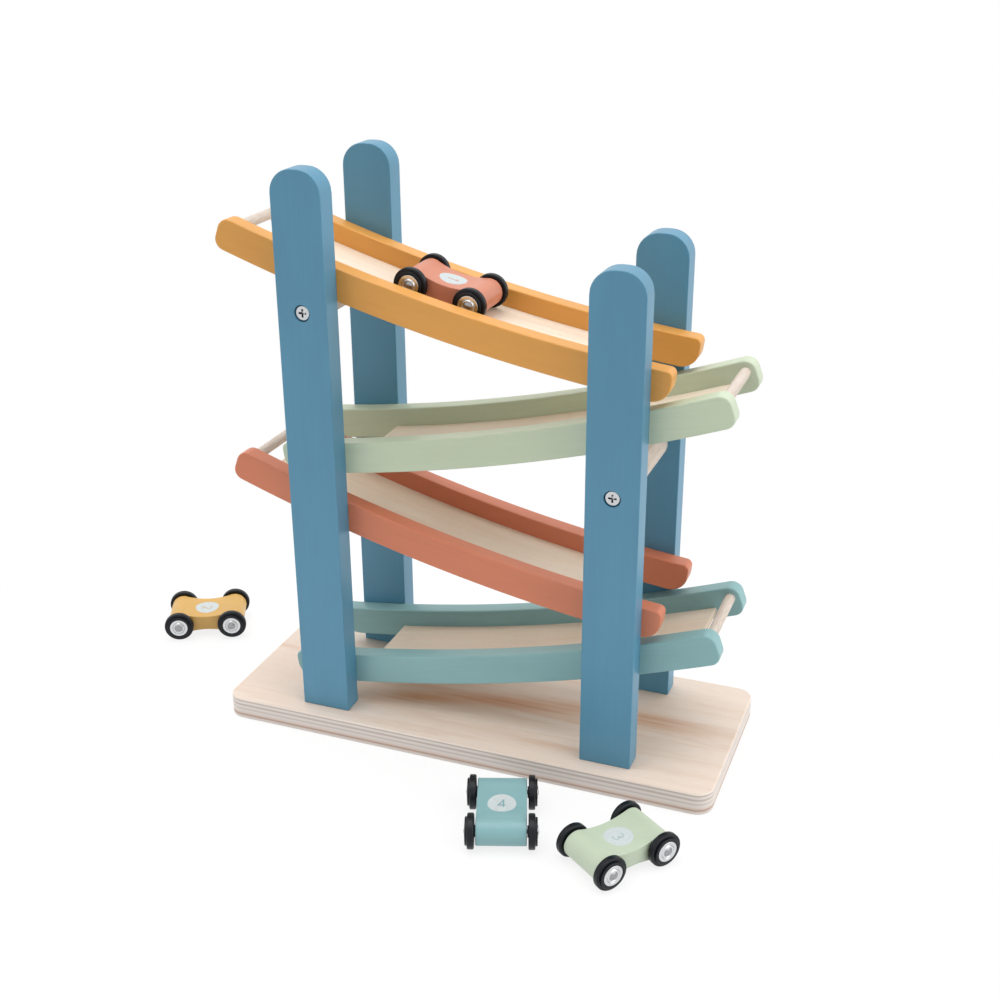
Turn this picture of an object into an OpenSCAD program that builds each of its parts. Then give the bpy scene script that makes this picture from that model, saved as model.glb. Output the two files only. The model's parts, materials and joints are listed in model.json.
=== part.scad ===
// Click clack track: four curved ramps in a frame of four posts on a base board, and four cars.
// Origin: middle of the base board's underside. X runs along the ramps, -Y is the front, +Z is up.
// Ramps are counted from the top. Odd ones fall to the right, even ones to the left.

/* [Base board] */
// Length of the base board
base_l = 300; // [280:2:360]
// Depth of the base board, front to back
base_d = 118; // [112:1:160]
// Thickness of the base board
base_t = 13.5; // [12:0.5:18]
// Radius of the board's corners, seen from above
base_corner_r = 10; // [4:1:14]

/* [Posts] */
// Distance from the middle of the toy to the middle of each post
post_x = 87; // [80:1:93]
// Width of a post, along the ramps
post_w = 29.5; // [27:0.5:34]
// Thickness of a post, front to back
post_t = 13.5; // [12:0.5:16]
// Height of the two left posts above the floor
left_post_h = 333; // [325:1:370]
// Height of the two right posts above the floor
right_post_h = 295.5; // [290:0.5:340]
// Radius of the rounded corners at the top of a post
post_top_r = 13; // [5:0.5:13]

/* [Ramps] */
// Radius of the arc along the top edge of a rail
ramp_r = 1060; // [1000:10:1300]
// Slope of a ramp at the middle of the toy, in degrees
ramp_tilt = 12.45; // [11.6:0.05:13]
// Height of the lowest ramp's top edge at the middle of the toy
ramp_z = 58; // [56:0.5:64]
// Height from one ramp to the next
ramp_pitch = 67.7; // [66:0.1:69]
// Length of a rail from the middle of the toy to its high end
rail_up_l = 147; // [145:1:155]
// Length of a rail from the middle of the toy to its low end
rail_down_l = 114.5; // [110:0.5:120]
// Height of a rail
rail_h = 17.9; // [17:0.1:20]
// Thickness of a rail
rail_t = 10.4; // [9.2:0.1:12]
// Clear width between the two rails of a ramp
channel_w = 50; // [46:0.5:54]
// Depth of the running surface under the rails' top edge
channel_depth = 10.7; // [10:0.1:11.5]
// Thickness of the bent plywood deck
deck_t = 3; // [2.6:0.1:3.5]
// Length of a deck from the middle of the toy to its high end
deck_up_l = 131.5; // [128:0.5:133]
// Length of a deck from the middle of the toy to its low end
deck_down_l = 71.7; // [70:0.1:76]
// Depth of the groove that holds the deck in each rail
groove_depth = 4; // [3:0.1:4.4]

/* [Dowels and crossbars] */
// Diameter of the dowel across the high end of a ramp
dowel_d = 6; // [5:0.1:6.4]
// Distance of the dowel's middle from the high end of the rails
dowel_from_end = 6; // [5.5:0.1:6.5]
// Depth of the dowel's middle under the rails' top edge
dowel_drop = 6.5; // [6:0.1:7]
// Length that the dowel goes into each rail
dowel_in_rail = 5; // [3:0.1:6]
// Diameter of the two crossbars between the front and back posts
crossbar_d = 15; // [13:0.5:16]
// Clear gap between the left crossbar and the rails above it
left_crossbar_gap = 0.6; // [0.4:0.1:3]
// Clear gap between the right crossbar and the rails above it
right_crossbar_gap = 13.7; // [12:0.1:15]
// Diameter of the pins between rails and posts
pin_d = 4; // [3:0.1:4.5]
// Length that a pin goes into a rail
pin_in_rail = 4; // [3:0.1:4.2]
// Length that a pin goes into a post
pin_in_post = 7; // [5:0.1:8]

/* [Screws] */
// Diameter of the screws' shanks
screw_d = 3.5; // [3:0.1:4]
// Diameter of the screws' heads
screw_head_d = 8.2; // [7.4:0.1:8.6]
// Height of a screw's head
screw_head_h = 2.4; // [2:0.1:3]
// Diameter of the counterbore around a head
screw_recess_d = 9.4; // [9:0.1:11]
// Depth of a head's face below the wood
screw_sink = 0.8; // [0.4:0.1:1.5]
// Length of a crossbar screw under its head
crossbar_screw_l = 28; // [24:1:30]
// Length of a base screw under its head
base_screw_l = 30; // [24:1:36]
// Distance between the two base screws of one post
base_screw_pitch = 15; // [13:0.5:16]

/* [Cars] */
// Distance between a car's two axles
wheelbase = 35; // [33:0.5:37]
// Width of a car's body
body_w = 27; // [24:0.5:28]
// Radius of the round ends of a car's body
body_end_r = 7.6; // [7.2:0.1:8.2]
// Height of a car's body at its waist
waist_h = 9.6; // [9:0.1:11]
// Diameter of a wheel at its tread
wheel_d = 19; // [18:0.2:20]
// Width of a wheel's tread
tread_w = 3.7; // [3:0.1:4]
// Diameter of the step on a wheel's outer side
wheel_step_d = 15.2; // [14:0.1:16]
// Width of that step
wheel_step_w = 1.2; // [1:0.1:1.4]
// Diameter of a hub cap
cap_d = 11.8; // [10:0.1:12.4]
// Diameter of an axle
axle_d = 2.5; // [2:0.1:3]
// Diameter of the domed head on each end of an axle
axle_head_d = 5; // [4:0.1:5.6]

/* [Places of the cars] */
// Distance of the ramp car's middle down the top ramp, from the middle of the toy
ramp_car_at = -21.3; // [-60:0.1:30]
// Place of the yellow car to the right of the toy's middle
yellow_car_x = -221; // [-240:1:-210]
// Place of the yellow car behind the toy's middle
yellow_car_y = 35; // [-20:1:60]
// Heading of the yellow car, in degrees
yellow_car_turn = 26; // [0:0.2:40]
// Place of the teal car to the right of the toy's middle
teal_car_x = 46.8; // [30:0.1:50]
// Place of the teal car behind the toy's middle
teal_car_y = -104.3; // [-125:0.1:-103]
// Heading of the teal car, in degrees
teal_car_turn = 109.6; // [100:0.2:115]
// Place of the green car to the right of the toy's middle
green_car_x = 113.3; // [112:0.1:130]
// Place of the green car behind the toy's middle
green_car_y = -109.8; // [-130:0.1:-109]
// Heading of the green car, in degrees
green_car_turn = 53.8; // [48:0.2:60]

/* [Hidden] */
// Play around what fits in a hole or groove and stays put
fit_gap = 0.05;
// Play around an axle that turns
turn_gap = 0.08;
// Gap under the wheels of the car on the ramp
roll_gap = 0.15;
// Play at the end of a blind hole
hole_end_gap = 0.5;
// Extra length of every cut through a face
overrun = 1;

// Rounded corners of a rail: high end above and below, low end below and above
rail_corner_r = [6.5, 6, 10.5, 3.5];
// Rounded corners of a deck's ends
deck_corner_r = 1.2;
// Height of the point of a screw, and the cross that a driver turns
screw_tip_l = 4;
screw_cross_l = 4.6;
screw_cross_w = 1.1;
screw_cross_depth = 1.5;
screw_edge_r = 0.5;

// Gap between a car's body and its wheels' treads, and the boss that keeps it
wheel_side_gap = 0.8;
boss_h = 0.6;
boss_d = 6.4;
// Rounded edges of a wheel's tread and step
tread_edge_r = 0.8;
step_edge_r = 0.4;
// Thickness of a hub cap, its rounded rim, the bead around the axle, and the groove around the bead
cap_t = 1;
cap_edge_r = 0.35;
cap_bead_w = 1.1;
cap_bead_h = 0.4;
cap_groove_w = 0.6;
cap_groove_depth = 0.35;
// Height of the dome on an axle's end
axle_head_h = 0.8;

post_colour = "#5e8ca4";
wood_colour = "#f0dcc4";
rail_colours = ["#cf9656", "#b7c5ad", "#c47c62", "#7fa2a3"];
plastic_colour = "#1e2026";
plated_colour = "#d4d6d5";

$fn = 64;
// Steps along a rail's long edge, a rounded corner, and a car's round ends and waist
long_steps = 36;
corner_steps = 8;
body_steps = 28;

ramp_count = 4;
rail_y = channel_w / 2;
post_y = rail_y + rail_t;
wheel_r = wheel_d / 2;
// Where a wheel's tread begins and where its step ends, from the middle of the car
tread_y = body_w / 2 + wheel_side_gap;
hub_y = tread_y + tread_w + wheel_step_w;
// Middle of a ramp's arc, seen from the point of its top edge in the middle of the toy
arc_x = ramp_r * sin(ramp_tilt);
arc_z = ramp_r * cos(ramp_tilt);

// Points on an arc about c, anticlockwise from angle a to angle b. skip leaves out that many at each end.
function arc(c, r, a, b, steps = corner_steps, skip = 0) =
    [for (i = [skip:steps - skip]) let (t = a + (b - a) * i / steps) c + r * [cos(t), sin(t)]];

// A ramp's arc: angle at the distance s down the ramp, and the point at radius r and angle a.
function arc_angle(s) = s / ramp_r * 180 / PI - ramp_tilt;
function arc_point(r, a) = r * [sin(a), -cos(a)];

// Corners of a curved strip: 0 low end above, 1 high end above, 2 high end below, 3 low end below.
function corner_side(q) = q == 2 || q == 3 ? 1 : -1;
function corner_mid_r(q, edge_r, r) = edge_r - corner_side(q) * r;
function corner_lean(q, edge_r, r) =
    (q == 1 || q == 2 ? 1 : -1) * asin(r / corner_mid_r(q, edge_r, r));
function strip_corner(q, edge_r, s, r) =
    let (lean = corner_lean(q, edge_r, r), end = arc_angle(s))
    arc(arc_point(corner_mid_r(q, edge_r, r), end + lean), r,
        end + 90 * q + (q % 2 == 1 ? lean : 0),
        end + 90 * (q + 1) + (q % 2 == 1 ? 0 : lean));
function strip_edge(edge_r, s_a, lean_a, s_b, lean_b) =
    arc([0, 0], edge_r, arc_angle(s_a) + lean_a - 90, arc_angle(s_b) + lean_b - 90, long_steps, 1);

// Outline of a curved strip between radius r_a and r_b, from s_a to s_b, with corner radii c.
function strip(r_a, r_b, s_a, s_b, c) = concat(
    strip_corner(1, r_a, s_a, c[0]),
    strip_corner(2, r_b, s_a, c[1]),
    strip_edge(r_b, s_a, corner_lean(2, r_b, c[1]), s_b, corner_lean(3, r_b, c[2])),
    strip_corner(3, r_b, s_b, c[2]),
    strip_corner(0, r_a, s_b, c[3]),
    strip_edge(r_a, s_b, corner_lean(0, r_a, c[3]), s_a, corner_lean(1, r_a, c[0]))
);

// Height of ramp i's top edge in the middle of the toy, and of its arc of radius r at the place x.
function ramp_top(i) = ramp_z + (ramp_count - i) * ramp_pitch;
function downhill(i) = i % 2 == 1 ? 1 : -1;
function ramp_height(i, r, x) =
    ramp_top(i) + arc_z - sqrt(pow(r, 2) - pow(downhill(i) * x - arc_x, 2));

function rail_mid_r() = ramp_r + rail_h / 2;
function crossbar_height(i, x, gap) = ramp_height(i, ramp_r + rail_h + gap + crossbar_d / 2, x);
left_crossbar_z = crossbar_height(1, -post_x, left_crossbar_gap);
right_crossbar_z = crossbar_height(2, post_x, right_crossbar_gap);

// Ramp car: radius of the circle on which its middle rides, at axle height.
ramp_car_r = sqrt(pow(ramp_r + channel_depth - wheel_r - roll_gap, 2) - pow(wheelbase / 2, 2));

// Stands an outline up in the XZ plane, from y to y + t.
module upright(y, t) {
    translate([0, y + t, 0]) rotate([90, 0, 0]) linear_extrude(t) children();
}

// A round bar along Y, from y_a to y_b.
module bar(d, y_a, y_b) {
    translate([0, y_a, 0]) rotate([-90, 0, 0]) cylinder(d = d, h = y_b - y_a);
}

// Puts what is drawn about the middle of a ramp's arc on ramp i.
module on_ramp(i) {
    translate([0, 0, ramp_top(i) + arc_z]) mirror([i % 2 == 0 ? 1 : 0, 0, 0])
        translate([arc_x, 0, 0]) children();
}

module screw_places(x, z) {
    for (side = [-1, 1])
        translate([x, side * (post_y + post_t), z]) rotate([-90 * side, 0, 0]) children();
}

module base_screw_places() {
    for (side_x = [-1, 1], side_y = [-1, 1], step = [-1, 1])
        translate([side_x * post_x + step * base_screw_pitch / 2, side_y * (post_y + post_t / 2), 0])
            rotate([180, 0, 0]) children();
}

// A flat-headed cross screw, driven down from a face at z = 0.
module screw(length) {
    seat = -screw_sink - screw_head_h;
    difference() {
        rotate_extrude() polygon(concat(
            [[0, seat - length], [screw_d / 2, seat - length + screw_tip_l], [screw_d / 2, seat],
                [screw_head_d / 2, seat]],
            arc([screw_head_d / 2 - screw_edge_r, -screw_sink - screw_edge_r], screw_edge_r, 0, 90),
            [[0, -screw_sink]]
        ));
        for (turn = [0, 90]) rotate([0, 0, turn])
            translate([-screw_cross_l / 2, -screw_cross_w / 2, -screw_sink - screw_cross_depth])
                cube([screw_cross_l, screw_cross_w, screw_cross_depth + overrun]);
    }
}

module screw_hole(length) {
    seat = -screw_sink - screw_head_h;
    translate([0, 0, seat]) cylinder(d = screw_recess_d, h = overrun - seat);
    translate([0, 0, seat - length - hole_end_gap])
        cylinder(d = screw_d + 2 * fit_gap, h = length + hole_end_gap + overrun);
}

module base_board() {
    x = base_l / 2 - base_corner_r;
    y = base_d / 2 - base_corner_r;
    color(wood_colour) difference() {
        linear_extrude(base_t) polygon(concat(
            arc([x, y], base_corner_r, 0, 90), arc([-x, y], base_corner_r, 90, 180),
            arc([-x, -y], base_corner_r, 180, 270), arc([x, -y], base_corner_r, 270, 360)
        ));
        base_screw_places() screw_hole(base_screw_l);
    }
}

// A post stands at x on the side -1, the front, or 1, the back.
module post(side, x, height, crossbar_z) {
    half = post_w / 2;
    top = height - post_top_r;
    color(post_colour) difference() {
        translate([x, 0, 0]) upright(side * (post_y + post_t / 2) - post_t / 2, post_t) polygon(concat(
            [[-half, base_t], [half, base_t]],
            arc([half - post_top_r, top], post_top_r, 0, 90),
            arc([post_top_r - half, top], post_top_r, 90, 180)
        ));
        screw_places(x, crossbar_z) screw_hole(crossbar_screw_l);
        base_screw_places() screw_hole(base_screw_l);
        pin_places(x) bar(pin_d + 2 * fit_gap, post_y, post_y + pin_in_post + hole_end_gap);
    }
}

// Where rails cross the posts at x, children are drawn for the back and mirrored to the front.
module pin_places(x) {
    for (i = [1:ramp_count], turn = [0, 1])
        translate([x, 0, ramp_height(i, rail_mid_r(), x)]) mirror([0, turn, 0]) children();
}

module front_rail(i) {
    color(rail_colours[i - 1]) difference() {
        on_ramp(i) difference() {
            upright(-post_y, rail_t)
                polygon(strip(ramp_r, ramp_r + rail_h, -rail_up_l, rail_down_l, rail_corner_r));
            upright(-rail_y - groove_depth, groove_depth + overrun) polygon(deck_outline(fit_gap));
            at_dowel() bar(dowel_d + 2 * fit_gap, -rail_y - dowel_in_rail - hole_end_gap, 0);
        }
        for (x = [-post_x, post_x])
            pin_places(x) bar(pin_d + 2 * fit_gap, post_y - pin_in_rail - hole_end_gap, post_y + overrun);
    }
}

module back_rail(i) {
    mirror([0, 1, 0]) front_rail(i);
}

function deck_outline(gap) =
    let (c = deck_corner_r + gap, r = ramp_r + channel_depth)
    strip(r - gap, r + deck_t + gap, -deck_up_l - gap, deck_down_l + gap, [c, c, c, c]);

module deck(i) {
    half = rail_y + groove_depth - fit_gap;
    color(wood_colour) on_ramp(i) upright(-half, 2 * half) polygon(deck_outline(0));
}

module at_dowel() {
    p = arc_point(ramp_r + dowel_drop, arc_angle(dowel_from_end - rail_up_l));
    translate([p[0], 0, p[1]]) children();
}

module dowel(i) {
    half = rail_y + dowel_in_rail;
    color(wood_colour) on_ramp(i) at_dowel() bar(dowel_d, -half, half);
}

module crossbar(x, z) {
    color(wood_colour) difference() {
        translate([x, 0, z]) bar(crossbar_d, -post_y, post_y);
        screw_places(x, z) screw_hole(crossbar_screw_l);
    }
}

module crossbar_screws() {
    color(plated_colour) {
        screw_places(-post_x, left_crossbar_z) screw(crossbar_screw_l);
        screw_places(post_x, right_crossbar_z) screw(crossbar_screw_l);
    }
}

module base_screws() {
    color(plated_colour) base_screw_places() screw(base_screw_l);
}

module rail_pins() {
    color(wood_colour) for (x = [-post_x, post_x])
        pin_places(x) bar(pin_d, post_y - pin_in_rail, post_y + pin_in_post);
}

// A car is drawn about its middle at axle height, and heads along +X.
module at_car(name) {
    place = name == "yellow" ? [yellow_car_x, yellow_car_y, yellow_car_turn]
        : name == "teal" ? [teal_car_x, teal_car_y, teal_car_turn]
        : [green_car_x, green_car_y, green_car_turn];
    if (name == "coral")
        on_ramp(1) rotate([0, -arc_angle(ramp_car_at), 0]) translate([0, 0, -ramp_car_r]) children();
    else
        translate([place[0], place[1], wheel_r]) rotate([0, 0, place[2]]) children();
}

// The round ends meet the hollow waist where both arcs have one tangent.
module car_body(colour) {
    half = wheelbase / 2;
    waist = waist_h / 2;
    waist_r = (pow(half, 2) + pow(waist, 2) - pow(body_end_r, 2)) / (2 * (body_end_r - waist));
    meet = 180 - atan2(waist + waist_r, half);
    color(colour) difference() {
        upright(-body_w / 2, body_w) polygon(concat(
            arc([half, 0], body_end_r, -meet, meet, body_steps),
            arc([0, waist + waist_r], waist_r, meet - 180, -meet, body_steps, 1),
            arc([-half, 0], body_end_r, 180 - meet, 180 + meet, body_steps),
            arc([0, -waist - waist_r], waist_r, meet, 180 - meet, body_steps, 1)
        ));
        for (end = [-1, 1]) translate([end * half, 0, 0])
            bar(axle_d + 2 * turn_gap, -body_w / 2 - overrun, body_w / 2 + overrun);
    }
}

// What turns on an axle is drawn about it. end is 1 for the front axle and -1 for the rear one.
module at_axle(name, end) {
    at_car(name) translate([end * wheelbase / 2, 0, 0]) children();
}

// Turns an outline of radius and distance from the middle about Y, on both sides of the car.
module both_sides() {
    for (turn = [0, 1]) mirror([0, turn, 0]) rotate([-90, 0, 0]) rotate_extrude() children();
}

module axle() {
    head = axle_head_d / 2;
    dome_r = (pow(head, 2) + pow(axle_head_h, 2)) / (2 * axle_head_h);
    dome_y = hub_y + axle_head_h - dome_r;
    color(plated_colour) rotate([-90, 0, 0]) rotate_extrude() polygon(concat(
        arc([0, -dome_y], dome_r, -90, -acos(head / dome_r)),
        [[axle_d / 2, -hub_y], [axle_d / 2, hub_y]],
        arc([0, dome_y], dome_r, acos(head / dome_r), 90)
    ));
}

module wheels() {
    bore = axle_d / 2 + fit_gap;
    seat = cap_d / 2 + fit_gap;
    step = wheel_step_d / 2;
    outer_y = tread_y + tread_w;
    color(plastic_colour) both_sides() polygon(concat(
        [[bore, tread_y - boss_h], [boss_d / 2, tread_y - boss_h], [boss_d / 2, tread_y]],
        arc([wheel_r - tread_edge_r, tread_y + tread_edge_r], tread_edge_r, -90, 0),
        arc([wheel_r - tread_edge_r, outer_y - tread_edge_r], tread_edge_r, 0, 90),
        [[step, outer_y]],
        arc([step - step_edge_r, hub_y - step_edge_r], step_edge_r, 0, 90),
        [[seat, hub_y], [seat, hub_y - cap_t], [bore, hub_y - cap_t]]
    ));
}

module caps() {
    bore = axle_d / 2 + fit_gap;
    floor_y = hub_y - cap_t;
    bead = axle_head_d / 2 + fit_gap + cap_bead_w / 2;
    bead_r = (pow(cap_bead_w / 2, 2) + pow(cap_bead_h, 2)) / (2 * cap_bead_h);
    bead_y = hub_y + cap_bead_h - bead_r;
    bead_start = asin((hub_y - bead_y) / bead_r);
    groove = bead + cap_bead_w / 2 + cap_groove_w / 2;
    color(plated_colour) both_sides() polygon(concat(
        [[bore, floor_y], [cap_d / 2, floor_y]],
        arc([cap_d / 2 - cap_edge_r, hub_y - cap_edge_r], cap_edge_r, 0, 90),
        [[groove + cap_groove_w / 2, hub_y], [groove, hub_y - cap_groove_depth]],
        arc([bead, bead_y], bead_r, bead_start, 180 - bead_start),
        [[bore, hub_y]]
    ));
}

base_board();
post(-1, -post_x, left_post_h, left_crossbar_z);  // post_front_left
post(1, -post_x, left_post_h, left_crossbar_z);  // post_back_left
post(-1, post_x, right_post_h, right_crossbar_z);  // post_front_right
post(1, post_x, right_post_h, right_crossbar_z);  // post_back_right
front_rail(1);  // ramp_1_front_rail
back_rail(1);  // ramp_1_back_rail
deck(1);  // ramp_1_deck
dowel(1);  // ramp_1_dowel
front_rail(2);  // ramp_2_front_rail
back_rail(2);  // ramp_2_back_rail
deck(2);  // ramp_2_deck
dowel(2);  // ramp_2_dowel
front_rail(3);  // ramp_3_front_rail
back_rail(3);  // ramp_3_back_rail
deck(3);  // ramp_3_deck
dowel(3);  // ramp_3_dowel
front_rail(4);  // ramp_4_front_rail
back_rail(4);  // ramp_4_back_rail
deck(4);  // ramp_4_deck
dowel(4);  // ramp_4_dowel
crossbar(-post_x, left_crossbar_z);  // crossbar_left
crossbar(post_x, right_crossbar_z);  // crossbar_right
crossbar_screws();
base_screws();
rail_pins();
at_car("yellow") car_body(rail_colours[0]);  // yellow_car_body
at_axle("yellow", 1) axle();  // yellow_car_front_axle
at_axle("yellow", -1) axle();  // yellow_car_rear_axle
at_axle("yellow", 1) wheels();  // yellow_car_front_wheels
at_axle("yellow", -1) wheels();  // yellow_car_rear_wheels
at_axle("yellow", 1) caps();  // yellow_car_front_caps
at_axle("yellow", -1) caps();  // yellow_car_rear_caps
at_car("coral") car_body(rail_colours[2]);  // coral_car_body
at_axle("coral", 1) axle();  // coral_car_front_axle
at_axle("coral", -1) axle();  // coral_car_rear_axle
at_axle("coral", 1) wheels();  // coral_car_front_wheels
at_axle("coral", -1) wheels();  // coral_car_rear_wheels
at_axle("coral", 1) caps();  // coral_car_front_caps
at_axle("coral", -1) caps();  // coral_car_rear_caps
at_car("green") car_body(rail_colours[1]);  // green_car_body
at_axle("green", 1) axle();  // green_car_front_axle
at_axle("green", -1) axle();  // green_car_rear_axle
at_axle("green", 1) wheels();  // green_car_front_wheels
at_axle("green", -1) wheels();  // green_car_rear_wheels
at_axle("green", 1) caps();  // green_car_front_caps
at_axle("green", -1) caps();  // green_car_rear_caps
at_car("teal") car_body(rail_colours[3]);  // teal_car_body
at_axle("teal", 1) axle();  // teal_car_front_axle
at_axle("teal", -1) axle();  // teal_car_rear_axle
at_axle("teal", 1) wheels();  // teal_car_front_wheels
at_axle("teal", -1) wheels();  // teal_car_rear_wheels
at_axle("teal", 1) caps();  // teal_car_front_caps
at_axle("teal", -1) caps();  // teal_car_rear_caps
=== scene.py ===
"""Click clack track: four curved ramps between four posts on a base board, and four small cars."""

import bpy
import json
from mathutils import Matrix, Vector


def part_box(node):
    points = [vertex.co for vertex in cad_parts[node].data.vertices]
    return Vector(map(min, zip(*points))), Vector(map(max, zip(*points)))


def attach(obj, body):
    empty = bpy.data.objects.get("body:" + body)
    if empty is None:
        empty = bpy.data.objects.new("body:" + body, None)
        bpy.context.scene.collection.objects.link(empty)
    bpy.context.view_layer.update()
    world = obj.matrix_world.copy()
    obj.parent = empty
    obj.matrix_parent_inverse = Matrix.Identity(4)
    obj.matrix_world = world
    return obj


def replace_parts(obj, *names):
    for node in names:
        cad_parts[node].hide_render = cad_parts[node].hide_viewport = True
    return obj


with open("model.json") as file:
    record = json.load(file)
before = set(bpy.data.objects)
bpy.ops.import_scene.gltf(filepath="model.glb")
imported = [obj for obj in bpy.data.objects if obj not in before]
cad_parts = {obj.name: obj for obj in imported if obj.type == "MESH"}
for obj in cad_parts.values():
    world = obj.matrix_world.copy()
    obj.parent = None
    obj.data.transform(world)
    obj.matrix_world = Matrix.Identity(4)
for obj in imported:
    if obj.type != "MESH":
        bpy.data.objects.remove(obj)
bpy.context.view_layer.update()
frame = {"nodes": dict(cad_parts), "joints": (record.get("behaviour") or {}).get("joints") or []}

import json
import math

import bmesh
import bpy
from mathutils import Matrix, Vector


# Base board: a plate of birch plywood, sawn out, with rounded corners and sanded edges. It is left
# bare. Its face is rotary-cut veneer, with soft contour lines, a few warm streaks, and one reddish
# streak of heartwood across the middle and the right. Its edge shows the plies.

MM = 0.001
BOARD_ARRIS = 1.0 * MM
SHARP_CORNER = math.radians(30)
HOLLOW_CORNER = math.radians(-3)
FLAT_ENOUGH = math.radians(0.05)
SAME_POINT = 0.002 * MM

# Streaks in the veneer: their width across the grain, and their length along it.
CONTOUR_HILLS = (34 * MM, 420 * MM)
TONE_STREAKS = (16 * MM, 300 * MM)
WARM_STREAKS = (21 * MM, 240 * MM)
BIRCH_PORES = (0.5 * MM, 11 * MM)
HEART_WAVES = (3 * MM, 90 * MM)
SAW_MARKS = (2 * MM, 9 * MM)
CONTOURS_PER_HILL = 5.0
PLY_WANDER = 0.02
PORE_DEPTH = 0.06 * MM

# The heartwood streak: a bow over its crest, with its bend in 1/m, and its ends along the board.
HEART_CREST = Vector((100, 4)) * MM
HEART_BOW = 1.2
HEART_WIDTH = 13 * MM
HEART_START = -85 * MM
HEART_END = 142 * MM


def linear(colour):
    """An sRGB hex colour as the linear RGBA that a socket takes."""
    parts = [int(colour[i:i + 2], 16) / 255 for i in (1, 3, 5)]
    return [v / 12.92 if v <= 0.04045 else ((v + 0.055) / 1.055) ** 2.4 for v in parts] + [1.0]


def add_node(tree, kind, inputs=None, stops=None, **settings):
    """Adds a node. An input is a value, or a socket to link to. stops are a colour ramp's."""
    made = tree.nodes.new("ShaderNode" + kind)
    for name, value in settings.items():
        setattr(made, name, value)
    for name, value in (inputs or {}).items():
        if isinstance(value, bpy.types.NodeSocket):
            tree.links.new(value, made.inputs[name])
        else:
            made.inputs[name].default_value = value
    for i, (place, colour) in enumerate(stops or []):
        ramp = made.color_ramp.elements
        stop = ramp[i] if i < len(ramp) else ramp.new(place)
        stop.position = place
        stop.color = linear(colour)
    return made


def new_material(name):
    """An empty material, its node tree, and its output's surface socket."""
    material = bpy.data.materials.new(name)
    material.use_nodes = True
    tree = material.node_tree
    tree.nodes.clear()
    return material, tree, add_node(tree, "OutputMaterial").inputs["Surface"]


def sanded(node, arris, steps=3):
    """A wooden piece in the shape of its CAD node, with its outer edges rounded over by arris.

    The walls of grooves and drilled holes touch a hollow corner, and their edges stay crisp.
    """
    cut = bmesh.new()
    cut.from_mesh(frame["nodes"][node].data)
    bmesh.ops.remove_doubles(cut, verts=cut.verts, dist=SAME_POINT)
    bmesh.ops.dissolve_limit(cut, angle_limit=FLAT_ENOUGH, verts=cut.verts, edges=cut.edges)
    hollow = set()
    for edge in cut.edges:
        if edge.calc_face_angle_signed() < HOLLOW_CORNER:
            hollow.update(edge.link_faces)
    corners = [
        edge for edge in cut.edges
        if edge.calc_face_angle() > SHARP_CORNER and not hollow.intersection(edge.link_faces)]
    bmesh.ops.bevel(
        cut, geom=corners, offset=arris, segments=steps, profile=0.5, affect="EDGES",
        clamp_overlap=False, loop_slide=True)
    for face in cut.faces:
        face.smooth = True
    for edge in cut.edges:
        edge.smooth = edge.calc_face_angle() < SHARP_CORNER
    mesh = bpy.data.meshes.new("wooden_" + node)
    cut.to_mesh(mesh)
    cut.free()
    piece = bpy.data.objects.new("wooden_" + node, mesh)
    bpy.context.collection.objects.link(piece)
    piece.modifiers.new("flat faces stay flat", "WEIGHTED_NORMAL").keep_sharp = True
    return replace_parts(piece, node)


def fixed_to(body, piece, material):
    """Gives a piece its finish, and lets it move with its body."""
    piece.data.materials.append(material)
    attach(piece, body)


def lay_grain(piece, place):
    """Stores each point's place in the board: along the grain, across it, and depth as a share."""
    grain = piece.data.attributes.new("grain", "FLOAT_VECTOR", "POINT")
    for vertex, stored in zip(piece.data.vertices, grain.data):
        stored.vector = place(vertex.co)


def grain_lines(tree, place, width, length, **more):
    """Streaks of a width and length in metres. place runs along the grain, across it and down."""
    scale = (1 / length, 1 / width, 1 / width)
    stretched = add_node(tree, "Mapping", {"Vector": place, "Scale": scale})
    settings = {"Scale": 1.0, "Detail": 3.0, "Roughness": 0.5}
    settings.update(more)
    noise = add_node(tree, "TexNoise", {"Vector": stretched.outputs["Vector"], **settings})
    return noise.outputs["Fac"]


def tinted(tree, share, below, above, blend="MULTIPLY"):
    """Lays one colour on another, by a share."""
    mixed = add_node(
        tree, "MixRGB", {"Fac": share, "Color1": below, "Color2": above}, blend_type=blend)
    return mixed.outputs["Color"]


def heart_streak(tree, parts):
    """A streak of reddish heartwood that bows along the board: 1 in its middle, 0 beside it.

    It runs out towards both ends of the board.
    """
    ahead = add_node(tree, "Math", {0: parts["X"], 1: HEART_CREST.x}, operation="SUBTRACT")
    ahead = ahead.outputs["Value"]
    bowed = add_node(tree, "Math", {0: ahead, 1: ahead}, operation="MULTIPLY").outputs["Value"]
    across = add_node(tree, "Math", {
        0: bowed, 1: HEART_BOW, 2: parts["Y"]}, operation="MULTIPLY_ADD").outputs["Value"]
    off = add_node(tree, "Math", {0: across, 1: HEART_CREST.y}, operation="SUBTRACT")
    off = add_node(tree, "Math", {0: off.outputs["Value"]}, operation="ABSOLUTE")
    band = add_node(tree, "MapRange", {
        "Value": off.outputs["Value"], "From Max": HEART_WIDTH, "To Min": 1.0, "To Max": 0.0},
        interpolation_type="SMOOTHSTEP")
    along = add_node(tree, "MapRange", {
        "Value": parts["X"], "From Min": HEART_START, "From Max": HEART_END})
    fading = add_node(tree, "ValToRGB", {"Fac": along.outputs["Result"]}, [
        (0.0, "#000000"), (0.16, "#ffffff"), (0.84, "#ffffff"), (1.0, "#6c6c6c")])
    streak = add_node(tree, "Math", {
        0: band.outputs["Result"], 1: fading.outputs["Color"]}, operation="MULTIPLY")
    return streak.outputs["Value"]


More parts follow.
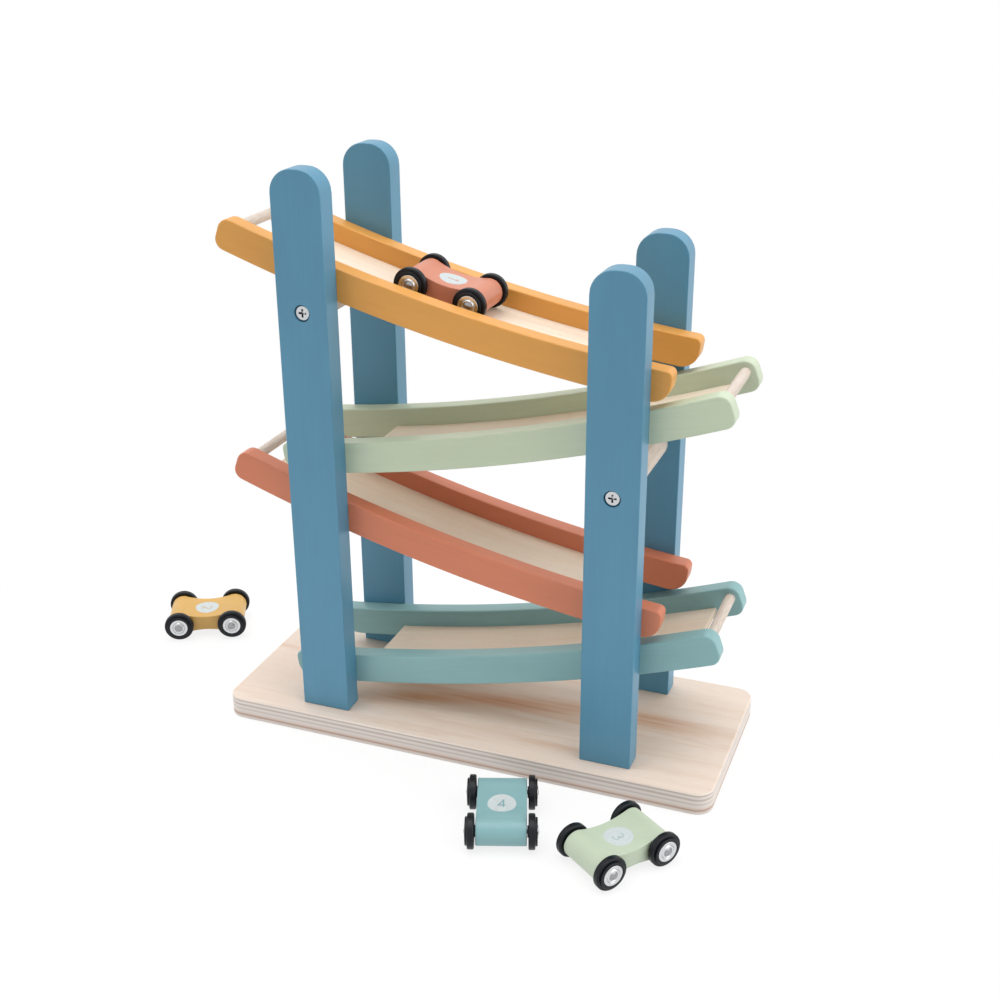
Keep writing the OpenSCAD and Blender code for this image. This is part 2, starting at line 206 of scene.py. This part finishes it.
def birch_plywood(name, plies, tones, warmth, heart=0.0):
    """Birch plywood, planed and sanded: matt and pale, with contours about 12 mm apart.

    The pores are 0.1 mm wide in life and are drawn 0.5 mm wide, so that they show. plies are the
    colours down the edge, tones those of the face. warmth and heart are the streaks' shares.
    """
    material, tree, surface = new_material(name)
    place = add_node(tree, "Attribute", attribute_name="grain").outputs["Vector"]
    parts = add_node(tree, "SeparateXYZ", {"Vector": place})
    flat = add_node(tree, "CombineXYZ", {"X": parts.outputs["X"], "Y": parts.outputs["Y"]})
    flat = flat.outputs["Vector"]
    hills = grain_lines(tree, flat, *CONTOUR_HILLS, Distortion=0.4)
    rings = add_node(tree, "Math", {0: hills, 1: CONTOURS_PER_HILL}, operation="MULTIPLY")
    ring = add_node(tree, "Math", {0: rings.outputs["Value"]}, operation="FRACT")
    contour = add_node(tree, "ValToRGB", {"Fac": ring.outputs["Value"]}, [
        (0.0, "#ffffff"), (0.55, "#fbf6f0"), (0.86, "#f2e4d8"), (0.97, "#fffdfa")])
    tone = add_node(tree, "ValToRGB", {"Fac": grain_lines(tree, flat, *TONE_STREAKS)}, tones)
    warm = add_node(tree, "ValToRGB", {"Fac": grain_lines(tree, flat, *WARM_STREAKS)}, [
        (0.56, "#ffffff"), (0.66, "#f0d2bb"), (0.74, "#e6bb9c")])
    pores = grain_lines(tree, place, *BIRCH_PORES)
    pore = add_node(tree, "ValToRGB", {"Fac": pores}, [(0.3, "#f0e8e1"), (0.55, "#ffffff")])
    face = tinted(tree, 0.4, tone.outputs["Color"], contour.outputs["Color"])
    face = tinted(tree, warmth, face, warm.outputs["Color"])
    if heart:
        band = heart_streak(tree, parts.outputs)
        wavy = add_node(tree, "MapRange", {
            "Value": grain_lines(tree, flat, *HEART_WAVES), "From Min": 0.3, "From Max": 0.6,
            "To Min": 0.35 * heart, "To Max": heart})
        band = add_node(tree, "Math", {0: band, 1: wavy.outputs["Result"]}, operation="MULTIPLY")
        face = tinted(tree, band.outputs["Value"], face, linear("#ecc4a2"))
    sawn = add_node(tree, "MapRange", {
        "Value": grain_lines(tree, place, *SAW_MARKS), "To Min": -PLY_WANDER, "To Max": PLY_WANDER})
    level = add_node(
        tree, "Math", {0: parts.outputs["Z"], 1: sawn.outputs["Result"]}, operation="ADD")
    edge = add_node(tree, "ValToRGB", {"Fac": level.outputs["Value"]}, plies)
    normal = add_node(tree, "TexCoord").outputs["Normal"]
    upright = add_node(tree, "SeparateXYZ", {"Vector": normal}).outputs["Z"]
    upright = add_node(tree, "Math", {0: upright}, operation="ABSOLUTE").outputs["Value"]
    on_face = add_node(tree, "MapRange", {"Value": upright, "From Min": 0.6, "From Max": 0.8})
    colour = tinted(tree, on_face.outputs["Result"], edge.outputs["Color"], face, "MIX")
    colour = tinted(tree, 0.5, colour, pore.outputs["Color"])
    relief = add_node(tree, "Bump", {"Height": pores, "Strength": 0.2, "Distance": PORE_DEPTH})
    wood = add_node(tree, "BsdfPrincipled", {
        "Base Color": colour, "Normal": relief.outputs["Normal"],
        "Roughness": 0.5, "IOR": 1.45, "Specular IOR Level": 0.55})
    tree.links.new(wood.outputs["BSDF"], surface)
    return material


board_ply = birch_plywood("birch plywood, 13.5 mm", [
    (0.00, "#e6dbd3"), (0.06, "#e3d7ce"), (0.08, "#bcafa5"), (0.12, "#c0b3aa"), (0.145, "#dfd7d1"),
    (0.23, "#dbd3ce"), (0.27, "#bdb1a8"), (0.32, "#c0b4ab"), (0.36, "#ded5d0"), (0.45, "#d9d0cb"),
    (0.48, "#c4bab4"), (0.52, "#c7bdb7"), (0.55, "#dcd4cf"), (0.68, "#d6cac2"), (0.75, "#c8b1a4"),
    (0.78, "#b09382"), (0.82, "#baa395"), (0.86, "#d5cbc5"), (1.00, "#dcd4cf")],
    [(0.28, "#decdbe"), (0.45, "#e2d2c5"), (0.6, "#e5d7cb"), (0.75, "#e1d2c4")], 0.6, 0.9)
board = sanded("base_board", BOARD_ARRIS)
board_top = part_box("base_board")[1].z
lay_grain(board, lambda at: (at.x, at.y, (board_top - at.z) / board_top))
fixed_to("root", board, board_ply)


# Posts: four boards of solid wood with rounded tops, screwed on from under the base board.
# Each has two coats of satin blue water-based paint, which leave an orange peel and a trace of grain.

POST_ARRIS = 0.6 * MM
GRAIN_RIDGES = (1.6 * MM, 40 * MM)
COAT_CLOUDS = (30 * MM, 90 * MM)
RIDGE_HEIGHT = 0.1 * MM
PEEL_SIZE = 1.1 * MM
PEEL_HEIGHT = 0.06 * MM


def sprayed_paint(name, colour, along, slope=0.0):
    """Satin water-based paint: an even colour, with an orange peel about 1 mm across.

    The wood's grain telegraphs through as faint ridges. The peel is drawn a little too deep.
    The grain runs along X, sloped about Y, or along Z.
    """
    material, tree, surface = new_material(name)
    place = add_node(tree, "TexCoord").outputs["Object"]
    turn = (0, math.pi / 2, 0) if along == "Z" else (0, slope, 0)
    turned = add_node(tree, "Mapping", {"Vector": place, "Rotation": turn}).outputs["Vector"]
    ridges = grain_lines(tree, turned, *GRAIN_RIDGES)
    cloud = grain_lines(tree, turned, *COAT_CLOUDS)
    tint = add_node(tree, "ValToRGB", {"Fac": cloud}, [(0.35, "#f6f6f6"), (0.65, "#ffffff")])
    coat = tinted(tree, 1.0, linear(colour), tint.outputs["Color"])
    line = add_node(tree, "ValToRGB", {"Fac": ridges}, [(0.3, "#f6f6f6"), (0.6, "#ffffff")])
    coat = tinted(tree, 0.4, coat, line.outputs["Color"])
    peel = add_node(tree, "TexNoise", {"Vector": place, "Scale": 1 / PEEL_SIZE, "Detail": 2.0})
    soft = add_node(tree, "Bump", {"Height": ridges, "Strength": 0.08, "Distance": RIDGE_HEIGHT})
    relief = add_node(tree, "Bump", {
        "Height": peel.outputs["Fac"], "Normal": soft.outputs["Normal"],
        "Strength": 0.12, "Distance": PEEL_HEIGHT})
    paint = add_node(tree, "BsdfPrincipled", {
        "Base Color": coat, "Normal": relief.outputs["Normal"],
        "Roughness": 0.38, "IOR": 1.5, "Specular IOR Level": 0.5})
    tree.links.new(paint.outputs["BSDF"], surface)
    return material


blue_paint = sprayed_paint("satin blue paint", "#558fac", "Z")
for post in ("front_left", "back_left", "front_right", "back_right"):
    fixed_to("root", sanded("post_" + post, POST_ARRIS), blue_paint)


# Crossbars, pins and end dowels: turned beech, left bare. The crossbars brace the posts, front to
# back, the pins are glued in where a rail meets a post, and an end dowel keeps each pair of rails apart.

BEECH_PORES = (0.5 * MM, 8 * MM)
BEECH_STREAKS = (3 * MM, 60 * MM)


def bare_beech():
    """Beech, turned and sanded: pale and matt, with short pores along the dowel, which lies on Y."""
    material, tree, surface = new_material("bare beech")
    place = add_node(tree, "TexCoord").outputs["Object"]
    turned = add_node(tree, "Mapping", {"Vector": place, "Rotation": (0, 0, math.pi / 2)})
    turned = turned.outputs["Vector"]
    pores = grain_lines(tree, turned, *BEECH_PORES)
    tone = add_node(tree, "ValToRGB", {"Fac": grain_lines(tree, turned, *BEECH_STREAKS)}, [
        (0.3, "#cbbfb3"), (0.7, "#d7ccc2")])
    pore = add_node(tree, "ValToRGB", {"Fac": pores}, [(0.3, "#e2d3c6"), (0.55, "#ffffff")])
    colour = tinted(tree, 0.7, tone.outputs["Color"], pore.outputs["Color"])
    relief = add_node(tree, "Bump", {"Height": pores, "Strength": 0.3, "Distance": PORE_DEPTH})
    wood = add_node(tree, "BsdfPrincipled", {
        "Base Color": colour, "Normal": relief.outputs["Normal"],
        "Roughness": 0.6, "IOR": 1.45, "Specular IOR Level": 0.4})
    tree.links.new(wood.outputs["BSDF"], surface)
    return material


def finish_node(node, material):
    """Gives a CAD node's own mesh its finish."""
    frame["nodes"][node].data.materials.clear()
    frame["nodes"][node].data.materials.append(material)


beech = bare_beech()
for node in ("crossbar_left", "crossbar_right", "rail_pins"):
    finish_node(node, beech)
for ramp in (1, 2, 3, 4):
    finish_node("ramp_%d_dowel" % ramp, beech)


# Screws: zinc-plated steel with flat heads and a driver's cross. Two hold each post to the base
# board from below, and one goes through each post into a crossbar's end, its bare head in a bore.

MOTTLE = 0.5 * MM
RECESS = 1.2 * MM


def plated_steel(name, colour, roughness, recess_shade_colour="#ffffff"):
    """Bright plated steel: a metal that shows the white room, with faint mottling 0.5 mm across.

    In recesses about 1 mm wide the plating is darkened towards a shade colour: painted shade.
    """
    material, tree, surface = new_material(name)
    place = add_node(tree, "TexCoord").outputs["Object"]
    marks = add_node(tree, "TexNoise", {"Vector": place, "Scale": 1 / MOTTLE, "Detail": 2.0})
    tint = add_node(tree, "ValToRGB", {"Fac": marks.outputs["Fac"]}, [
        (0.3, "#e6e6e6"), (0.7, "#ffffff")])
    plating = tinted(tree, 1.0, linear(colour), tint.outputs["Color"])
    # Painted shade: ambient occlusion darkens the plating in recesses about 1 mm wide.
    openness = add_node(tree, "AmbientOcclusion", {"Distance": RECESS}, only_local=True)
    painted_recess_shade = add_node(tree, "ValToRGB", {"Fac": openness.outputs["AO"]}, [
        (0.45, recess_shade_colour), (0.85, "#ffffff")])
    plating = tinted(tree, 1.0, plating, painted_recess_shade.outputs["Color"])
    metal = add_node(tree, "BsdfPrincipled", {
        "Base Color": plating, "Metallic": 1.0, "Roughness": roughness})
    tree.links.new(metal.outputs["BSDF"], surface)
    return material


# The zinc gets a dark recess colour, a painted shade in the driver's cross of each screw.
zinc = plated_steel("zinc-plated steel", "#dcdee0", 0.38, "#4a4b4c")
finish_node("crossbar_screws", zinc)
finish_node("base_screws", zinc)


# Ramp rails: eight curved boards, cut by router, with rounded ends and softened edges, and a groove
# along each inner face. They are sprayed in four satin colours, one for each ramp from the top.

RAIL_ARRIS = 0.9 * MM
RAMP_SLOPE = math.radians(12.45)

for ramp, slot, name, colour in (
        (1, "mustard_paint", "satin mustard paint", "#e3a14c"),
        (2, "sage_paint", "satin pale green paint", "#c6d2b7"),
        (3, "terracotta_paint", "satin terracotta paint", "#d37d5c"),
        (4, "teal_paint", "satin teal paint", "#87b1b3")):
    paint = sprayed_paint(name, colour, "X", -RAMP_SLOPE if ramp % 2 else RAMP_SLOPE)
    for depth in ("front", "back"):
        rail = sanded("ramp_%d_%s_rail" % (ramp, depth), RAIL_ARRIS)
        fixed_to("root", rail, paint)


# Ramp decks: strips of 3 mm birch plywood, sprung into the rails' grooves. They are left bare, with
# their face grain along the ramp, and three plies show at their ends.

DECK_ARRIS = 0.35 * MM

deck_ply = birch_plywood("birch plywood, 3 mm", [
    (0.00, "#ead9c8"), (0.32, "#e6d4c2"), (0.36, "#c5a98f"), (0.62, "#c9ae95"), (0.66, "#e8d6c4")],
    [(0.28, "#e6d8c6"), (0.45, "#eaddcb"), (0.6, "#ece0cf"), (0.75, "#e9ddca")], 0.15)
ramp_centre = Vector(next(
    joint["pos_m"] for joint in frame["joints"] if joint["name"] == "coral_car_roll"))
ramp_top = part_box("ramp_1_deck")[1].z
for ramp in (1, 2, 3, 4):
    low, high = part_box("ramp_%d_deck" % ramp)
    lean = 1 if ramp % 2 else -1
    centre = Vector((lean * ramp_centre.x, 0, ramp_centre.z + high.z - ramp_top))
    radii = [math.hypot(v.co.x - centre.x, v.co.z - centre.z)
             for v in frame["nodes"]["ramp_%d_deck" % ramp].data.vertices]
    top_radius, under_radius = min(radii), max(radii)

    def along_the_arc(at):
        radius = math.hypot(at.x - centre.x, at.z - centre.z)
        angle = math.atan2(at.x - centre.x, centre.z - at.z)
        depth = (radius - top_radius) / (under_radius - top_radius)
        return (angle * top_radius, at.y + ramp * (high.y - low.y), depth)

    deck = sanded("ramp_%d_deck" % ramp, DECK_ARRIS)
    lay_grain(deck, along_the_arc)
    fixed_to("root", deck, deck_ply)


# Car bodies: one block of wood each, cut with round ends and a hollow waist. Each is painted a shade
# off its rails' colour, and the first is yellower: the green and teal are darker, as painted shade for
# the dimmer light on the cars, and the yellow and coral are paler in green and blue, as a painted sheen
# on their tops. A pale disc with the car's number is printed on the waist.

BODY_ARRIS = 0.5 * MM
DISC_RADIUS = 7.75 * MM
DISC_RINGS = 12
DISC_STEPS = 72
INK_THICKNESS = 0.03 * MM
INK_GRAIN = 1.5 * MM
NUMBER_STROKE = 0.75 * MM
NUMBER_SIZE = 0.73
NUMBER_STEP = 0.4 * MM
ARC_STEPS = 12
MITRE_LIMIT = 0.35

# Each car's slot, its paint (a shade off its rails', with painted light in it), its number and the ink
# of the number.
CARS = {
    "yellow": ("mustard_paint", "#d1a558", "2", "#c8ad88"),
    "coral": ("terracotta_paint", "#cd8266", "1", "#c98e88"),
    "green": ("sage_paint", "#bbc8b1", "3", "#a3b8ae"),
    "teal": ("teal_paint", "#80aaae", "4", "#7ba3aa"),
}


def middle(node):
    """The middle of a CAD node's box."""
    low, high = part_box(node)
    return (low + high) / 2


def car_place(car):
    """Turns a car's own axes, which are ahead, left and up from its middle, into the toy's."""
    front = middle(car + "_car_front_axle")
    rear = middle(car + "_car_rear_axle")
    ahead = (front - rear).normalized()
    left = Vector((0, 0, 1)).cross(ahead).normalized()
    place = Matrix((ahead, left, ahead.cross(left))).transposed().to_4x4()
    place.translation = (front + rear) / 2
    return place


def waist_curve(car):
    """Half the height of a body's waist, and the radius of its hollow, measured on the body."""
    inverse = car_place(car).inverted()
    points = [inverse @ v.co for v in frame["nodes"][car + "_car_body"].data.vertices]
    upper = sorted((abs(p.x), p.z) for p in points if p.z > 0)
    half = upper[0][1]
    reach = [p for p in upper if p[0] < DISC_RADIUS][-1]
    rise = reach[1] - half
    return half, (reach[0] ** 2 + rise ** 2) / (2 * rise)


def arc(x, y, radius, start, end):
    """Points on an arc about x, y. Angles are in degrees."""
    angles = [math.radians(start + (end - start) * i / ARC_STEPS) for i in range(ARC_STEPS + 1)]
    return [(x + radius * math.cos(a), y + radius * math.sin(a)) for a in angles]


# Lines of the numbers in mm, about the disc's middle: across to the right, and up.
NUMBER_LINES = {
    "1": [(-1.7, 2.5), (0.5, 4.1), (0.5, -4.1)],
    "2": arc(0, 1.8, 2.3, 165, -35) + [(-2.3, -4.1), (2.5, -4.1)],
    "3": arc(-0.1, 2.05, 2.05, 150, -90) + arc(-0.1, -1.9, 2.25, 90, -150),
    "4": [(1.2, -4.1), (1.2, 4.1), (-2.7, -1.7), (2.7, -1.7)],
}


def finely(points, step):
    """The same line with points no further apart than step."""
    fine = [points[0]]
    for start, end in zip(points, points[1:]):
        count = max(1, math.ceil((end - start).length / step))
        fine += [start.lerp(end, i / count) for i in range(1, count + 1)]
    return fine


def ribbon(points, width):
    """Left and right sides of a line of a width, mitred where it bends."""
    sides = []
    for i, point in enumerate(points):
        before = (point - points[i - 1]).normalized() if i else None
        after = (points[i + 1] - point).normalized() if i + 1 < len(points) else None
        before, after = before or after, after or before
        across = Vector((-before.y - after.y, before.x + after.x)).normalized()
        reach = width / 2 / max(MITRE_LIMIT, across.dot(Vector((-after.y, after.x))))
        sides.append((point + across * reach, point - across * reach))
    return sides


def printed(name, faces, points, material, car, lift):
    """A film of ink on a car's waist. points are across and ahead of the car's middle.

    lift is the film's underside, measured from the wood.
    """
    half, radius = waist_curve(car)
    place = car_place(car)
    mesh = bpy.data.meshes.new(name)
    vertices = []
    for level in (0, INK_THICKNESS):
        for right, ahead in points:
            hollow = half + radius - math.sqrt(radius ** 2 - ahead ** 2)
            vertices.append(place @ Vector((ahead, -right, hollow + lift + level)))
    count = len(points)
    borders = {}
    for face in faces:
        for a, b in zip(face, face[1:] + face[:1]):
            borders[(a, b)] = None
    sides = [(a, b, b + count, a + count) for a, b in borders if (b, a) not in borders]
    tops = [[i + count for i in face] for face in faces]
    mesh.from_pydata(vertices, [], [list(reversed(face)) for face in faces] + tops + sides)
    mesh.update()
    piece = bpy.data.objects.new(name, mesh)
    bpy.context.collection.objects.link(piece)
    fixed_to(car + "_car", piece, material)


def ink(name, colour):
    """Pad-printed ink: a thin, even, matt film."""
    material, tree, surface = new_material(name)
    place = add_node(tree, "TexCoord").outputs["Object"]
    grain = add_node(tree, "TexNoise", {"Vector": place, "Scale": 1 / INK_GRAIN, "Detail": 2.0})
    tint = add_node(tree, "ValToRGB", {"Fac": grain.outputs["Fac"]}, [
        (0.35, "#f6f6f6"), (0.65, "#ffffff")])
    film = add_node(tree, "BsdfPrincipled", {
        "Base Color": tinted(tree, 1.0, linear(colour), tint.outputs["Color"]),
        "Roughness": 0.55, "IOR": 1.5, "Specular IOR Level": 0.4})
    tree.links.new(film.outputs["BSDF"], surface)
    return material


def disc_outline():
    """Points and faces of a flat disc, in rings about its middle."""
    points = [(0.0, 0.0)]
    for ring in range(1, DISC_RINGS + 1):
        radius = DISC_RADIUS * ring / DISC_RINGS
        for step in range(DISC_STEPS):
            angle = 2 * math.pi * step / DISC_STEPS
            points.append((radius * math.cos(angle), radius * math.sin(angle)))
    faces = []
    for step in range(DISC_STEPS):
        after = (step + 1) % DISC_STEPS
        faces.append([0, 1 + step, 1 + after])
        for ring in range(1, DISC_RINGS):
            inner = 1 + (ring - 1) * DISC_STEPS
            outer = inner + DISC_STEPS
            faces.append([inner + step, outer + step, outer + after, inner + after])
    return points, faces


white_ink = ink("pale blue-white ink", "#c4cccd")
disc_points, disc_faces = disc_outline()
for car, (slot, colour, number, tint) in CARS.items():
    # Each car's paint holds painted shade or a painted sheen, as said above.
    paint = sprayed_paint("satin %s paint, car" % car, colour, "X")
    fixed_to(car + "_car", sanded(car + "_car_body", BODY_ARRIS), paint)
    printed(car + "_number_disc", disc_faces, disc_points, white_ink, car, 0)
    line = finely([Vector(point) * NUMBER_SIZE * MM for point in NUMBER_LINES[number]], NUMBER_STEP)
    sides = ribbon(line, NUMBER_STROKE)
    points = [tuple(side) for pair in sides for side in pair]
    faces = [[2 * i + 1, 2 * i + 3, 2 * i + 2, 2 * i] for i in range(len(sides) - 1)]
    printed(car + "_number", faces, points, ink(car + " number ink", tint), car, 2 * INK_THICKNESS)


# Wheels, hub caps and axles: stepped wheels moulded in black ABS, each with a pressed and
# nickel-plated cap in its face. A plated axle with domed ends goes through each pair.

SPARK_SIZE = 0.4 * MM
SPARK_DEPTH = 0.04 * MM


def black_abs():
    """ABS, moulded: black with a soft gloss, and the spark texture of its mould, 0.4 mm across."""
    material, tree, surface = new_material("black ABS")
    place = add_node(tree, "TexCoord").outputs["Object"]
    spark = add_node(tree, "TexNoise", {"Vector": place, "Scale": 1 / SPARK_SIZE, "Detail": 2.0})
    relief = add_node(tree, "Bump", {
        "Height": spark.outputs["Fac"], "Strength": 0.12, "Distance": SPARK_DEPTH})
    # The black is tinted a little blue: a painted bluish cast of the light on the wheels.
    tint = add_node(tree, "ValToRGB", {"Fac": spark.outputs["Fac"]}, [
        (0.3, "#080d13"), (0.7, "#0c1219")])
    plastic = add_node(tree, "BsdfPrincipled", {
        "Base Color": tint.outputs["Color"], "Normal": relief.outputs["Normal"],
        "Roughness": 0.36, "IOR": 1.5, "Specular IOR Level": 0.3})
    tree.links.new(plastic.outputs["BSDF"], surface)
    return material


nickel = plated_steel("nickel-plated steel", "#dfe1e2", 0.22)
axle_steel = plated_steel("bright axle steel", "#a6a8aa", 0.25)
abs_plastic = black_abs()
for car in CARS:
    for end in ("front", "rear"):
        finish_node("%s_car_%s_axle" % (car, end), axle_steel)
        finish_node("%s_car_%s_wheels" % (car, end), abs_plastic)
        finish_node("%s_car_%s_caps" % (car, end), nickel)


# Studio: a white table that runs out of view, in a white room that gives little light from the
# camera's side. A soft box hangs overhead, a little to the left, and a card stands on the right.
# The table sends less light back from further off, which leaves the tops of the posts dimmer.

TABLE_SIZE = 40
TABLE_GAP = 0.05 * MM

# The table fades from TABLE_NEAR to TABLE_FAR. Its own glow, which keeps it white to the eye, has
# a share of it near the toy, and all of it from a part of that reach.
TABLE_NEAR = 200 * MM
TABLE_FAR = 750 * MM
TABLE_GLOW = 0.82
TABLE_ALL_GLOW = 0.35

# The room's light, its dim side, where that is, and its middle and rim.
SKY_LIGHT = 1.11
DARK_SIDE = 0.1
DARK_TOWARDS = Vector((0.34, -0.86, 0.38)).normalized()
DARK_CORE = math.radians(20)
DARK_EDGE = math.radians(44)

# The two lights' names, where each comes from, how wide it is and how strong.
LIGHTS = (
    ("soft_box", Vector((-0.12, -0.03, 0.97)), math.radians(55), 1.22),
    ("side_card", Vector((0.9, 0.0, 0.4)), math.radians(60), 0.88),
)


def seen_directly(tree):
    """1 for rays from the camera, off metal or through glass, and 0 for those that light a thing."""
    path = add_node(tree, "LightPath")
    total = path.outputs["Is Camera Ray"]
    for name in ("Is Glossy Ray", "Is Transmission Ray"):
        total = add_node(tree, "Math", {0: total, 1: path.outputs[name]}, operation="ADD")
        total = total.outputs["Value"]
    return total


half = TABLE_SIZE / 2
table_mesh = bpy.data.meshes.new("table_top")
table_mesh.from_pydata(
    [(-half, -half, 0), (half, -half, 0), (half, half, 0), (-half, half, 0)], [], [(0, 1, 2, 3)])
table = bpy.data.objects.new("table_top", table_mesh)
table.location.z = -TABLE_GAP
bpy.context.collection.objects.link(table)
white_board, tree, surface = new_material("white laminate")
place = add_node(tree, "TexCoord").outputs["Object"]
reach = add_node(tree, "VectorMath", {0: place}, operation="LENGTH").outputs["Value"]
faded = add_node(tree, "MapRange", {"Value": reach, "From Min": TABLE_NEAR, "From Max": TABLE_FAR})
white = add_node(tree, "ValToRGB", {"Fac": faded.outputs["Result"]}, [(0, "#f4f4f4"), (1, "#b4b4b4")])
matt = add_node(tree, "BsdfDiffuse", {"Color": white.outputs["Color"]})
glow = add_node(tree, "Emission", {"Color": linear("#ffffff"), "Strength": 1.0})
own = add_node(tree, "MapRange", {
    "Value": faded.outputs["Result"], "From Max": TABLE_ALL_GLOW, "To Min": TABLE_GLOW})
share = add_node(tree, "Math", {
    0: seen_directly(tree), 1: own.outputs["Result"]}, operation="MULTIPLY")
both = add_node(tree, "MixShader", {
    0: share.outputs["Value"], 1: matt.outputs["BSDF"], 2: glow.outputs["Emission"]})
tree.links.new(both.outputs["Shader"], surface)
table_mesh.materials.append(white_board)

world = bpy.data.worlds.new("white_studio")
bpy.context.scene.world = world
world.use_nodes = True
tree = world.node_tree
outward = add_node(tree, "TexCoord").outputs["Generated"]
towards = add_node(tree, "VectorMath", {0: outward, 1: DARK_TOWARDS}, operation="DOT_PRODUCT")
room = add_node(tree, "MapRange", {
    "Value": towards.outputs["Value"], "From Min": math.cos(DARK_EDGE), "From Max": math.cos(DARK_CORE),
    "To Min": SKY_LIGHT, "To Max": DARK_SIDE})
sky = add_node(tree, "MapRange", {
    "Value": seen_directly(tree), "To Min": room.outputs["Result"], "To Max": 1.0})
tree.links.new(sky.outputs["Result"], tree.nodes["Background"].inputs["Strength"])
tree.nodes["Background"].inputs["Color"].default_value = linear("#ffffff")

for name, place, width, light in LIGHTS:
    lamp = bpy.data.objects.new(name, bpy.data.lights.new(name, "SUN"))
    lamp.data.energy = light
    lamp.data.angle = width
    lamp.rotation_mode = "QUATERNION"
    lamp.rotation_quaternion = place.to_track_quat("Z", "Y")
    bpy.context.collection.objects.link(lamp)


# Camera: where the photograph's stood, worked out from the corners of the toy.

VIEW_AZIMUTH = math.radians(20.943)
VIEW_ELEVATION = math.radians(23.597)
VIEW_ROLL = math.radians(-0.275)
VIEW_DISTANCE = 812.7 * MM
AIM = Vector((0, 0, 130)) * MM
AIM_RIGHT = 6.17 * MM
AIM_UP = 11.08 * MM
SENSOR_WIDTH = 36
LENS = 50.69

behind = Vector((
    math.sin(VIEW_AZIMUTH) * math.cos(VIEW_ELEVATION),
    -math.cos(VIEW_AZIMUTH) * math.cos(VIEW_ELEVATION),
    math.sin(VIEW_ELEVATION)))
level = Vector((math.cos(VIEW_AZIMUTH), math.sin(VIEW_AZIMUTH), 0))
upward = behind.cross(level)
right = math.cos(VIEW_ROLL) * level + math.sin(VIEW_ROLL) * upward
up = math.cos(VIEW_ROLL) * upward - math.sin(VIEW_ROLL) * level
camera = bpy.data.objects.new("camera", bpy.data.cameras.new("camera"))
camera.data.sensor_width = SENSOR_WIDTH
camera.data.lens = LENS
camera.data.clip_start = 0.05
camera.data.clip_end = 100
camera.location = AIM + AIM_RIGHT * right + AIM_UP * up + VIEW_DISTANCE * behind
camera.rotation_mode = "QUATERNION"
camera.rotation_quaternion = Matrix((right, up, behind)).transposed().to_quaternion()
bpy.context.collection.objects.link(camera)
bpy.context.scene.camera = camera
bpy.context.scene.view_settings.view_transform = "Standard"
